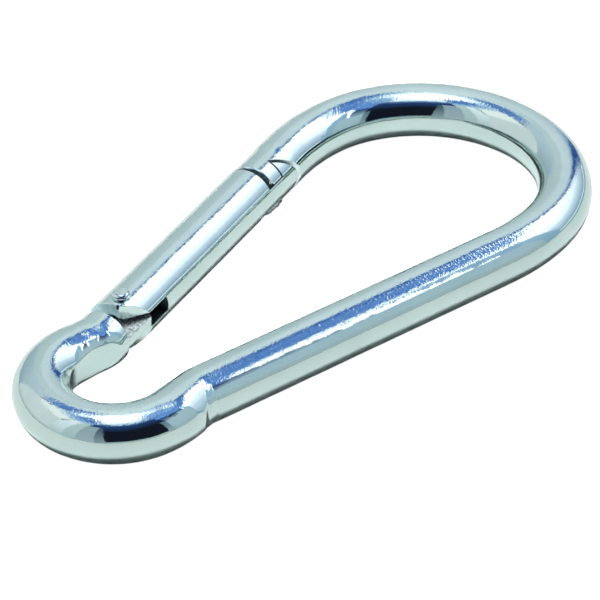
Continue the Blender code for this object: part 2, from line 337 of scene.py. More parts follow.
def bar_path():
    """Centre line from the hinge shoulder round the eye, the spine and the bow to the nose."""
    gate_knee = leg_point(GATE_KNEE_X, 1)
    spine_knee = leg_point(SPINE_KNEE_X, -1)
    gate_tangent = eye_tangent_angle(gate_knee, 1)
    spine_tangent = eye_tangent_angle(spine_knee, -1) + 360
    eye_to_gate = eye_centre() + EYE_R * direction(gate_tangent)
    eye_to_spine = eye_centre() + EYE_R * direction(spine_tangent)
    shoulder = on_gate_leg(SHOULDER_X)
    knee_in, knee_out, knee = rounded_corner(shoulder, gate_knee, eye_to_gate, KNEE_R)
    points = straight(shoulder, knee_in, FINE_STEP) + knee
    points += straight(knee_out, eye_to_gate, FINE_STEP)
    points += arc(eye_centre(), EYE_R, gate_tangent, spine_tangent, FINE_STEP)
    knee_in, knee_out, knee = rounded_corner(eye_to_spine, spine_knee, leg_start(-1), KNEE_R)
    spine_point = leg_point(FINE_END_X, -1)
    points += straight(eye_to_spine, knee_in, FINE_STEP) + knee
    points += straight(knee_out, spine_point, FINE_STEP)
    points += straight(spine_point, leg_start(-1), STEP)
    points += arc(bow_side_centre(-1), BOW_SIDE_R, -90 - LEG_ANGLE, -BOW_TIP_HALF_ANGLE, STEP)
    points += arc(bow_centre(), BOW_TIP_R, -BOW_TIP_HALF_ANGLE, BOW_TIP_HALF_ANGLE, STEP)
    points += arc(bow_side_centre(1), BOW_SIDE_R, BOW_TIP_HALF_ANGLE, 90 + LEG_ANGLE, STEP)
    nose_end = on_gate_leg(NOSE_LIP_X - BEYOND / 4)
    fine_start = on_gate_leg(NOSE_FACE_X + NOSE_FINE_RUN)
    points += straight(leg_start(1), fine_start, STEP)
    points += straight(fine_start, nose_end, FINE_STEP / 2) + [nose_end]
    return points


# ---------------------------------------------------------------- mesh tools

def make_object(name, data):
    bmesh.ops.recalc_face_normals(data, faces=data.faces)
    mesh = bpy.data.meshes.new(name)
    data.to_mesh(mesh)
    data.free()
    made = bpy.data.objects.new(name, mesh)
    bpy.context.scene.collection.objects.link(made)
    return made


def skin(name, rings):
    """Closed solid through rings of points that follow each other."""
    data = bmesh.new()
    loops = [[data.verts.new(point) for point in ring] for ring in rings]
    count = len(rings[0])
    for one, other in zip(loops, loops[1:]):
        for i in range(count):
            j = (i + 1) % count
            data.faces.new((one[i], one[j], other[j], other[i]))
    data.faces.new(loops[0])
    data.faces.new(loops[-1])
    return make_object(name, data)


def turned(name, stations, axis, sides=64, offset_z=0.0):
    """Turned piece in the gate's frame from (distance along the axis, radius) stations."""
    rings = []
    for distance, radius in stations:
        ring = []
        for k in range(sides):
            angle = (k + 0.5) * 2 * math.pi / sides
            a, b = radius * math.cos(angle), radius * math.sin(angle)
            place = (distance, a, b + offset_z) if axis == "X" else (a, b, distance)
            ring.append(GATE @ Vector(place))
        rings.append(ring)
    return skin(name, rings)


def prism(name, outline, low_z, high_z):
    """Outline in the gate's xy plane, carried from low_z to high_z."""
    return skin(name, [[GATE @ Vector((x, y, z)) for x, y in outline] for z in (low_z, high_z)])


def combine(target, tool, operation="DIFFERENCE"):
    """Cut, or join, target with tool, and remove the tool."""
    modifier = target.modifiers.new(tool.name, "BOOLEAN")
    modifier.operation = operation
    modifier.solver = "EXACT"
    modifier.material_mode = "TRANSFER"
    modifier.object = tool
    apply_modifiers(target)
    bpy.data.objects.remove(tool, do_unlink=True)


def apply_modifiers(target):
    bpy.context.view_layer.update()
    graph = bpy.context.evaluated_depsgraph_get()
    mesh = bpy.data.meshes.new_from_object(target.evaluated_get(graph))
    old = target.data
    target.modifiers.clear()
    target.data = mesh
    mesh.name = target.name
    bpy.data.meshes.remove(old)


def finish_mesh(target, angle=32):
    target.data.shade_smooth()
    target.data.set_sharp_from_angle(angle=math.radians(angle))


# ---------------------------------------------------------------- pieces

def blend(share):
    """Smooth step from 0 to 1."""
    share = min(max(share, 0), 1)
    return share * share * (3 - 2 * share)


def risen(value, start, length):
    """Smooth step from 0 at start to 1 a length further on."""
    return blend((value - start) / length)


def faded(value, start, length):
    """Smooth step from 1 at start to 0 a length further on."""
    return 1 - risen(value, start, length)


def wave(place, height, rate):
    return height * noise.noise(place * rate)


def along_profile(profile, value):
    """Straight-line reading of (place, height) pairs, both in millimetres."""
    value = value / MM
    if value <= profile[0][0] or value >= profile[-1][0]:
        return 0.0
    for (x0, y0), (x1, y1) in zip(profile, profile[1:]):
        if value <= x1:
            return MM * (y0 + (y1 - y0) * (value - x0) / (x1 - x0))


def crease_rise(place, angle):
    """Swelling of the eye end beside the crease of the spine's knee, and the dip behind it."""
    offset = place.xy - CREASE_PLACE
    across = offset.dot(direction(CREASE_ANGLE + 90))
    near = faded(offset.length, BULGE_REACH / 2, BULGE_REACH / 2)
    inner_side = 0 if math.sin(angle) < 0 and math.cos(angle) < 0 else 1
    from_outside = math.degrees(math.acos(math.cos(angle)))
    top = faded(from_outside, *BULGE_TOP_FADE)
    across *= 1 - BULGE_WIDENED_BY * risen(from_outside, *BULGE_WIDENING)
    underside = faded(-math.sin(angle), *BULGE_LOW_FADE)
    return along_profile(SPINE_BULGE, across) * near * inner_side * top * underside


def pressed(place):
    """Place moved under the slightly rounded tool that flattened the end of the swelling."""
    offset = place - PRESS_PLACE
    beyond_crease = (place.xy - CREASE_PLACE).dot(direction(CREASE_ANGLE + 90)) < 0
    if offset.length > PRESS_REACH or beyond_crease:
        return place
    axis = Vector((-PRESS_NORMAL.y, PRESS_NORMAL.x, 0)).normalized()
    from_axis = offset + PRESS_NORMAL * PRESS_TOOL_R
    from_axis -= axis * from_axis.dot(axis)
    excess = max(0, from_axis.length - PRESS_TOOL_R)
    return place - from_axis.normalized() * excess


def against_eye_wall(place):
    """Place moved back to the upright wall pressed into the gate side of the eye's bore."""
    offset = place.xy - eye_centre()
    bearing = math.degrees(math.atan2(offset.y, offset.x))
    if place.x > EYE_WALL_END_X or not EYE_WALL_START < bearing < EYE_WALL_FADE:
        return place
    wall = direction(EYE_WALL_ANGLE)
    from_middle = offset.dot(direction(EYE_WALL_ANGLE - 90)) - EYE_WALL_MIDDLE
    depth = EYE_WALL_DISTANCE - from_middle ** 2 / (2 * EYE_WALL_CURVE_R) - offset.dot(wall)
    if bearing > EYE_WALL_CORNER:
        wall = direction(bearing)
        share = blend((bearing - EYE_WALL_CORNER) / (EYE_WALL_FADE - EYE_WALL_CORNER))
        depth = EYE_WALL_CORNER_R + (EYE_R - BAR_R - EYE_WALL_CORNER_R) * share - offset.length
    shift = wall * max(0, depth)
    return place + Vector((shift.x, shift.y, 0))


def unevenness(place):
    """Height left by the forging hammer: long waves, and short ones near the hinge shoulder."""
    rough = faded((place - ROUGH_PLACE).length / ROUGH_REACH, ROUGH_CORE, 1)
    return wave(place, *LONG_WAVE) + wave(place, *MIDDLE_WAVE) + rough * wave(place, *ROUGH_WAVE)


def rounding(distance, reach):
    """Loss of radius at a distance from a rounded rim."""
    return max(0, reach - max(distance, 0)) ** 2 / (RIM_REACH_PER_DEPTH * reach)


def end_rounding(place):
    """Loss of radius beside the bar's two ends: the hinge shoulder and the nose."""
    local = GATE.inverted() @ place
    on_leg = abs(local.y) < BAR_R + MM
    if not on_leg or local.x > NOSE_FACE_X + MM or local.x < SHOULDER_X - MM:
        return 0
    if local.x < 0:
        return rounding(SHOULDER_X - local.x, RIM_R)
    face = NOSE_FACE_X if local.y < NOSE_LIP_FROM_Y else NOSE_LIP_X
    return rounding(local.x - face, RIM_R)


def swept_bar(name):
    points = bar_path()
    up = Vector((0, 0, 1))
    rings = []
    for i, point in enumerate(points):
        before = points[max(i - 1, 0)]
        after = points[min(i + 1, len(points) - 1)]
        along = (after - before).normalized()
        outward = Vector((along.y, -along.x, 0))
        centre = Vector((point.x, point.y, BAR_R))
        radius = bar_radius(point)
        at_end = i in (0, len(points) - 1)
        ring = []
        for k in range(SIDES):
            angle = (k + 0.5) * 2 * math.pi / SIDES
            normal = outward * math.cos(angle) + up * math.sin(angle)
            place = centre + normal * radius
            place += normal * (crease_rise(place, angle) - end_rounding(place))
            place = against_eye_wall(pressed(place))
            lift = 0 if at_end else min(unevenness(place), BAR_R - radius)
            ring.append(place + normal * lift)
        rings.append(ring)
    return skin(name, rings)


def bar_radius(point):
    """Radius at a place of the centre line: less at the nose and beside the knees."""
    local = GATE.inverted() @ Vector((point.x, point.y, BAR_R))
    if abs(local.y) < MM and local.x > NOSE_ZONE_X:
        share = (local.x - NOSE_TAPER_END_X) / (NOSE_TAPER_START_X - NOSE_TAPER_END_X)
        return NOSE_R + (BAR_R - NOSE_R) * blend(share)
    depth = GATE_WAIST if point.y > 0 else SPINE_WAIST
    return BAR_R - SKIN_DEPTH - depth * math.exp(-((point.x - WAIST_X) / WAIST_REACH) ** 2)


def tongue_outline():
    root_x = SHOULDER_X - BEYOND / 2
    corner_x = TONGUE_END_X - TONGUE_CORNER
    return [
        (root_x, TONGUE_INNER_Y), (corner_x, TONGUE_INNER_Y),
        (TONGUE_END_X, -TONGUE_END_HALF), (TONGUE_END_X, TONGUE_END_HALF),
        (corner_x, TONGUE_OUTER_Y), (root_x, TONGUE_OUTER_Y),
    ]


def nose_cut_outline():
    back = BAR_R + BEYOND
    notch_mouth_x = NOTCH_ROOT[0] + (-back - NOTCH_ROOT[1]) / NOTCH_SLOPE
    far = NOSE_LIP_X - BEYOND
    return [
        (far, -back), (far, back), (NOSE_LIP_X - NOSE_LIP_HALF_SLANT, back),
        (NOSE_LIP_X + NOSE_LIP_HALF_SLANT, NOSE_LIP_LOW_Y), (NOSE_FACE_X, NOSE_FACE_HIGH_Y),
        (NOSE_FACE_X, BARB_Y + BARB_CHAMFER), (NOSE_FACE_X + BARB_CHAMFER, BARB_Y),
        (BARB_BACK_X, BARB_Y), (BARB_BACK_X, NOTCH_ROOT[1] - NOTCH_ROOT_DROP), NOTCH_ROOT,
        (notch_mouth_x, -back),
    ]


def recess_outline():
    back = BAR_R + BEYOND
    tip = GATE_TIP_X + BEYOND
    tooth_low = TOOTH_TOP_Y + (tip - TOOTH_FACE_X) * TOOTH_BACK_SLOPE
    return [
        (RECESS_START_X, back), (RECESS_START_X, RECESS_FLOOR_Y),
        (TOOTH_FACE_X, RECESS_FLOOR_Y), (TOOTH_FACE_X, TOOTH_TOP_Y),
        (tip, tooth_low), (tip, back),
    ]


def slot_outline():
    back = BAR_R + BEYOND
    lean = (SLOT_OUTER_X - SLOT_INNER_X) / (2 * BAR_R) * BEYOND
    start = GATE_BACK_X - BEYOND
    return [
        (start, -back), (SLOT_INNER_X - lean, -back),
        (SLOT_OUTER_X + lean, back), (start, back),
    ]


def relief_outline():
    start_x, start_y = RELIEF_START
    first = (start_x - BEYOND, start_y - BEYOND * RELIEF_SLOPE)
    last = (start_x + RELIEF_REACH, start_y + RELIEF_REACH * RELIEF_SLOPE)
    return [first, last, (first[0], last[1])]


def make_hook_body(finishes):
    body = swept_bar("hook_body_surface")
    body.data.materials.append(finishes["body"])
    reach = BAR_R + BEYOND
    hole = [(-reach, RIVET_HOLE_R), (reach, RIVET_HOLE_R)]
    tools = [
        (prism("tongue_join", tongue_outline(), TONGUE_LOW_Z, TONGUE_HIGH_Z), "tongue", "UNION"),
        (prism("nose_cut", nose_cut_outline(), -reach, reach), "nose", "DIFFERENCE"),
        # The rivet hole gets the near-black finish: painted shade inside the hole.
        (turned("tongue_hole", hole, "Z"), "slot", "DIFFERENCE"),
    ]
    for tool, finish, operation in tools:
        tool.data.materials.append(finishes[finish])
        combine(body, tool, operation)
    paint_tongue_sides(body)
    finish_mesh(body)
    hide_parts("hook_body")
    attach(body, "frame")


def paint_tongue_sides(body):
    """Give the tongue's upright sides the bar's own finish."""
    names = [material.name for material in body.data.materials]
    for face in body.data.polygons:
        on_tongue = names[face.material_index] == "stamped_zinc_tongue"
        if on_tongue and abs(face.normal.z) < LEVEL:
            face.material_index = 0


def gate_bar(name):
    """Round bar of the gate: slightly wavy, with the lump that stamping the recess pushed out."""
    stops = (
        GATE_BACK_X, GATE_BACK_X + MM, RECESS_START_X - MM, RECESS_START_X, LUMP_END_X, GATE_TIP_X,
    )
    steps = (FINE_STEP / 3, STEP, FINE_STEP / 3, FINE_STEP, STEP)
    places = [GATE_TIP_X]
    for start, end, step in zip(stops, stops[1:], steps):
        count = round((end - start) / step)
        places += [start + (end - start) * i / count for i in range(count)]
    rings = []
    for x in sorted(places):
        lump = blend((x - LUMP_START_X) / LUMP_RAMP) * blend((LUMP_END_X - x) / LUMP_RAMP)
        before_recess = x < RECESS_START_X + 0.01 * MM
        ring = []
        for k in range(SIDES):
            angle = (k + 0.5) * 2 * math.pi / SIDES
            normal = Vector((0, math.cos(angle), math.sin(angle)))
            flat = Vector((x, 0, 0)) + normal * (BAR_R - SKIN_DEPTH)
            bend = (math.degrees(angle) - LUMP_ANGLE) / LUMP_HALF_WIDTH
            lift = min(SKIN_DEPTH, wave(flat, *GATE_WAVE))
            uneven = 1 + wave(flat, *LUMP_WAVE)
            lift += LUMP_HEIGHT * lump * math.exp(-bend ** 4) * uneven
            lift -= rounding(x - GATE_BACK_X, GATE_RIM_R)
            if before_recess and flat.y > RECESS_RIM_LOW_Y:
                lift -= rounding(RECESS_START_X - x, GATE_RIM_R)
            ring.append(GATE @ (flat + normal * lift))
        rings.append(ring)
    return skin(name, rings)


def make_gate(finishes):
    gate = gate_bar("gate_surface")
    gate.data.materials.append(finishes["gate"])
    reach = BAR_R + BEYOND
    bore = [(GATE_BACK_X - BEYOND, BORE_R), (BORE_END_X, BORE_R)]
    hole = [(-reach, RIVET_HOLE_R), (reach, RIVET_HOLE_R)]
    pit = [(PIT_PLACE[0] + PIT_R * x, PIT_PLACE[1] + PIT_R * y) for x, y in PIT_CORNERS]
    tools = [
        # The slot, the bore, the rivet hole and the pit get the near-black finish: painted shade in
        # these hollows.
        (prism("slot_cut", slot_outline(), SLOT_LOW_Z, SLOT_HIGH_Z), "slot"),
        (turned("bore_cut", bore, "X", offset_z=BORE_Z), "slot"),
        (prism("relief_cut", relief_outline(), -reach, reach), "relief"),
        (prism("recess_cut", recess_outline(), -reach, reach), "recess"),
        (turned("rivet_cut", hole, "Z"), "slot"),
        (prism("pit_cut", pit, BAR_R - PIT_FLOOR_DEPTH, reach), "slot"),
    ]
    for tool, finish in tools:
        tool.data.materials.append(finishes[finish])
        combine(gate, tool)
    paint_gate_faces(gate, finishes)
    finish_mesh(gate)
    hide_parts("gate")
    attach(gate, "gate_arm")


def paint_gate_faces(gate, finishes):
    """Give the sawn end its own finish, and paint shade on the recess floor and the stamped lump
    with near-black finishes.
    """
    slots = {}
    for name in ("end", "slot", "lump"):
        gate.data.materials.append(finishes[name])
        slots[name] = len(gate.data.materials) - 1
    inverse = GATE.inverted()
    turn = inverse.to_3x3()
    for face in gate.data.polygons:
        place = inverse @ face.center
        normal = turn @ face.normal
        if normal.x < -SQUARE_ON and place.x < GATE_BACK_X + PAINT_REACH:
            face.material_index = slots["end"]
        # The recess floor gets the near-black finish: painted shade in the recess.
        elif normal.y > SQUARE_ON and abs(place.y - RECESS_FLOOR_Y) < PAINT_REACH:
            face.material_index = slots["slot"]
        # Faces standing out on the lump get a near-black finish: painted shade for the shadowed
        # floor that the lump mirrors.
        elif math.hypot(place.y, place.z) > BAR_R + LUMP_PAINT_RISE:
            face.material_index = slots["lump"]


def make_rivet(finish):
    """Shank peened level below, with a raised head of two stacked discs on top."""
    low = RUNNING_GAP - BAR_R
    stations = [(low, RIVET_R - RIVET_LOW_CHAMFER), (low + RIVET_LOW_CHAMFER, RIVET_R)]
    stations += RIVET_HEAD_PROFILE
    rivet = turned("hinge_rivet_surface", stations, "Z", sides=96)
    rivet.data.materials.append(finish)
    finish_mesh(rivet, angle=40)
    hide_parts("hinge_rivet")
    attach(rivet, "gate_arm")


def pin_tip_x():
    return TONGUE_END_X + RUNNING_GAP


def make_thrust_pin(finish):
    tip = pin_tip_x()
    head_end = tip + PIN_HEAD_LENGTH
    stem_end = head_end + PIN_STEM_LENGTH
    stations = [(tip + distance, radius) for distance, radius in PIN_TIP_PROFILE]
    stations += [
        (head_end - PIN_HEAD_CHAMFER, PIN_HEAD_R), (head_end, PIN_HEAD_R - PIN_HEAD_CHAMFER),
        (head_end, PIN_STEM_R), (stem_end - PIN_STEM_CHAMFER, PIN_STEM_R),
        (stem_end, PIN_STEM_R - PIN_STEM_CHAMFER),
    ]
    pin = turned("thrust_pin_surface", stations, "X", offset_z=BORE_Z)
    pin.data.materials.append(finish)
    finish_mesh(pin, angle=40)
    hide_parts("thrust_pin")
    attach(pin, "pin_slider")


def make_spring(finish):
    """Helix between the pin's head and the bottom of the bore."""
    start = pin_tip_x() + PIN_HEAD_LENGTH + RUNNING_GAP + SPRING_WIRE_R
    end = BORE_END_X - RUNNING_GAP - SPRING_WIRE_R
    pitch = (end - start) / SPRING_TURNS
    rings = []
    for i in range(SPRING_TURNS * SPRING_STEPS_PER_TURN + 1):
        turn = 2 * math.pi * i / SPRING_STEPS_PER_TURN
        outward = Vector((0, math.cos(turn), math.sin(turn)))
        tangent = Vector((pitch / (2 * math.pi), 0, 0))
        tangent += SPRING_MEAN_R * Vector((0, -math.sin(turn), math.cos(turn)))
        binormal = tangent.normalized().cross(outward)
        middle = Vector((start + pitch * i / SPRING_STEPS_PER_TURN, 0, BORE_Z))
        centre = middle + outward * SPRING_MEAN_R
        ring = []
        for k in range(SPRING_WIRE_SIDES):
            angle = 2 * math.pi * k / SPRING_WIRE_SIDES
            offset = SPRING_WIRE_R * (math.cos(angle) * outward + math.sin(angle) * binormal)
            ring.append(GATE @ (centre + offset))
        rings.append(ring)
    spring = skin("gate_spring_wire", rings)
    spring.data.materials.append(finish)
    finish_mesh(spring)
    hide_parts("gate_spring")
    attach(spring, "gate_arm")
    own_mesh(spring)


# ---------------------------------------------------------------- materials

class Nodes:
    """Short forms for building a material's nodes."""

    def __init__(self, name):
        self.material = bpy.data.materials.new(name)
        self.material.use_nodes = True
        self.tree = self.material.node_tree
        self.shader = self.tree.nodes["Principled BSDF"]
        coordinates = self.add("ShaderNodeTexCoord")
        self.place = coordinates.outputs["Object"]

    def add(self, kind, **settings):
        node = self.tree.nodes.new(kind)
        for name, value in settings.items():
            setattr(node, name, value)
        return node

    def link(self, output, socket):
        self.tree.links.new(output, socket)

    def noise(self, scale, detail=3.0, roughness=0.5, stretch=None):
        texture = self.add("ShaderNodeTexNoise")
        texture.inputs["Scale"].default_value = scale
        texture.inputs["Detail"].default_value = detail
        texture.inputs["Roughness"].default_value = roughness
        place = self.place
        if stretch:
            mapping = self.add("ShaderNodeMapping")
            mapping.inputs["Rotation"].default_value = (0, 0, math.radians(-LEG_ANGLE))
            mapping.inputs["Scale"].default_value = stretch
            self.link(place, mapping.inputs["Vector"])
            place = mapping.outputs["Vector"]
        self.link(place, texture.inputs["Vector"])
        return texture.outputs["Fac"]

    def span(self, value, low, high, from_low=0.3, from_high=0.7):
        """Value between from_low and from_high, carried to between low and high."""
        node = self.add("ShaderNodeMapRange")
        node.inputs["From Min"].default_value = from_low
        node.inputs["From Max"].default_value = from_high
        node.inputs["To Min"].default_value = low
        node.inputs["To Max"].default_value = high
        self.link(value, node.inputs["Value"])
        return node.outputs["Result"]

    def rounded(self, edge):
        """Normal softened within a distance of every edge, or None without a distance."""
        if not edge:
            return None
        node = self.add("ShaderNodeBevel", samples=BEVEL_SAMPLES)
        node.inputs["Radius"].default_value = edge
        return node.outputs["Normal"]

    def height(self):
        split = self.add("ShaderNodeSeparateXYZ")
        self.link(self.place, split.inputs["Vector"])
        return split.outputs["Z"]

    def mixed(self, share, first, second):
        node = self.add("ShaderNodeMix", data_type="RGBA")
        self.link(share, node.inputs["Factor"])
        node.inputs["A"].default_value = (*first, 1)
        node.inputs["B"].default_value = (*second, 1)
        return node.outputs["Result"]

    def bump(self, height, strength, distance, under=None):
        node = self.add("ShaderNodeBump")
        node.inputs["Strength"].default_value = strength
        node.inputs["Distance"].default_value = distance
        self.link(height, node.inputs["Height"])
        if under is not None:
            self.link(under, node.inputs["Normal"])
        return node.outputs["Normal"]


def metal(name, dark, light, roughness, peel, grain, edge=0.0, crown_grain=False):
    """Plated metal: colour drift, uneven gloss, orange peel, fine grain and softened edges.

    With crown_grain the grain is coarse on the upper side of the bar and faint low down.
    """
    nodes = Nodes(name)
    shader = nodes.shader
    shader.inputs["Metallic"].default_value = 1.0
    drift = nodes.span(nodes.noise(DRIFT_RATE, detail=4.0, roughness=0.6), 0, 1)
    nodes.link(nodes.mixed(drift, dark, light), shader.inputs["Base Color"])
    gloss = nodes.span(nodes.noise(GLOSS_RATE, detail=5.0, roughness=0.65), *roughness)
    nodes.link(gloss, shader.inputs["Roughness"])
    rounded = nodes.rounded(edge)
    soft = nodes.bump(nodes.noise(PEEL_RATE, detail=1.0), peel, PEEL_DEPTH, rounded)
    fine = nodes.bump(nodes.noise(GRAIN_RATE, detail=1.5), grain, GRAIN_DEPTH, soft)
    if crown_grain:
        strength = nodes.span(nodes.height(), grain * FAINT_GRAIN, grain, CROWN_LOW_Z, CROWN_HIGH_Z)
        nodes.link(strength, fine.node.inputs["Strength"])
    nodes.link(fine, shader.inputs["Normal"])
    return nodes.material


def cut_metal(
    name, dark, light, roughness, lines=0.15, dents=0.0, edge=0.0, metallic=1.0, patches=600.0
):
    """Sawn or stamped face: fine lines across it, dents, and a duller gloss."""
    nodes = Nodes(name)
    shader = nodes.shader
    shader.inputs["Metallic"].default_value = metallic
    drift = nodes.span(nodes.noise(patches, roughness=0.6), 0, 1, 0.4, 0.6)
    nodes.link(nodes.mixed(drift, dark, light), shader.inputs["Base Color"])
    nodes.link(nodes.span(nodes.noise(CUT_GLOSS_RATE), *roughness), shader.inputs["Roughness"])
    rounded = nodes.rounded(edge)
    stroke = nodes.noise(STROKE_RATE, roughness=0.6, stretch=STROKE_STRETCH)
    ground = nodes.bump(stroke, lines, STROKE_DEPTH, rounded)
    stamped = nodes.bump(nodes.noise(DENT_RATE, detail=2.0), dents, DENT_DEPTH, ground)
    nodes.link(stamped, shader.inputs["Normal"])
    return nodes.material


# ---------------------------------------------------------------- studio

def card_grid(corners, distance):
    """Grid on a sphere round the origin, between corners of (azimuth from +X, elevation)."""
    data = bmesh.new()
    grid = []
    for r in range(CARD_ROWS + 1):
        up = r / CARD_ROWS
        line = []
        for c in range(CARD_COLUMNS + 1):
            along = c / CARD_COLUMNS
            low = Vector(corners[0]).lerp(Vector(corners[1]), along)
            high = Vector(corners[3]).lerp(Vector(corners[2]), along)
            azimuth, elevation = low.lerp(high, up)
            flat = direction(azimuth) * math.cos(math.radians(elevation))
            height = math.sin(math.radians(elevation))
            line.append(data.verts.new(Vector((flat.x, flat.y, height)) * distance))
        grid.append(line)
    for r in range(CARD_ROWS):
        for c in range(CARD_COLUMNS):
            data.faces.new((grid[r][c], grid[r][c + 1], grid[r + 1][c + 1], grid[r + 1][c]))
    return data


def card_light(name, low_colour, high_colour, heights):
    """Glow from one colour to the other, between two heights, or in clouds without heights."""
    material = bpy.data.materials.new(name)
    material.use_nodes = True
    tree = material.node_tree
    tree.nodes.clear()
    place = tree.nodes.new("ShaderNodeTexCoord")
    share = tree.nodes.new("ShaderNodeMapRange")
    colour = tree.nodes.new("ShaderNodeMix")
    colour.data_type = "RGBA"
    colour.inputs["A"].default_value = (*low_colour, 1)
    colour.inputs["B"].default_value = (*high_colour, 1)
    glow = tree.nodes.new("ShaderNodeEmission")
    output = tree.nodes.new("ShaderNodeOutputMaterial")
    if heights:
        split = tree.nodes.new("ShaderNodeSeparateXYZ")
        tree.links.new(place.outputs["Object"], split.inputs["Vector"])
        value = split.outputs["Z"]
    else:
        clouds = tree.nodes.new("ShaderNodeTexNoise")
        clouds.inputs["Scale"].default_value = MOTTLE_RATE
        clouds.inputs["Detail"].default_value = 3.0
        tree.links.new(place.outputs["Object"], clouds.inputs["Vector"])
        value = clouds.outputs["Fac"]
    low, high = heights or MOTTLE_SPAN
    share.inputs["From Min"].default_value = low
    share.inputs["From Max"].default_value = high
    tree.links.new(value, share.inputs["Value"])
    tree.links.new(share.outputs["Result"], colour.inputs["Factor"])
    tree.links.new(colour.outputs["Result"], glow.inputs["Color"])
    tree.links.new(glow.outputs["Emission"], output.inputs["Surface"])
    return material


def card(name, corners, low_colour, high_colour, kind="plain", distance=CARD_DISTANCE):
    """Glowing patch of the studio's walls, which the metal mirrors.

    The corners are low left, low right, high right and high left. A plain card goes evenly
    from its low colour up to its high colour, a mottled one mixes the two in clouds, and a
    lamp is a plain card that also lights what isn't a mirror.
    """
    elevations = [corner[1] for corner in corners]
    heights = [distance * math.sin(math.radians(f(elevations))) for f in (min, max)]
    made = make_object(name, card_grid(corners, distance))
    light = card_light(
        name + "_light", low_colour, high_colour, None if kind == "mottled" else heights
    )
    made.data.materials.append(light)
    made.visible_camera = False
    made.visible_diffuse = kind == "lamp"


def make_floor(name, height, glow, seen):
    """White paper: one sheet is what the camera sees, the other is what the metal mirrors."""
    data = bmesh.new()
    size = FLOOR_HALF_SIZE
    places = ((-size, -size), (size, -size), (size, size), (-size, size))
    data.faces.new([data.verts.new((x, y, height)) for x, y in places])
    floor = make_object(name, data)
    paper = Nodes(name + "_paper")
    paper.shader.inputs["Base Color"].default_value = (0.9, 0.9, 0.9, 1)
    paper.shader.inputs["Roughness"].default_value = 0.9
    paper.shader.inputs["Specular IOR Level"].default_value = 0.0
    paper.shader.inputs["Emission Color"].default_value = (1, 1, 1, 1)
    paper.shader.inputs["Emission Strength"].default_value = glow
    floor.data.materials.append(paper.material)
    floor.visible_camera = seen
    floor.visible_glossy = not seen
    floor.visible_diffuse = not seen
    floor.visible_shadow = not seen


def box_corners(az_low, az_high, el_low, el_high):
    return ((az_low, el_low), (az_high, el_low), (az_high, el_high), (az_low, el_high))


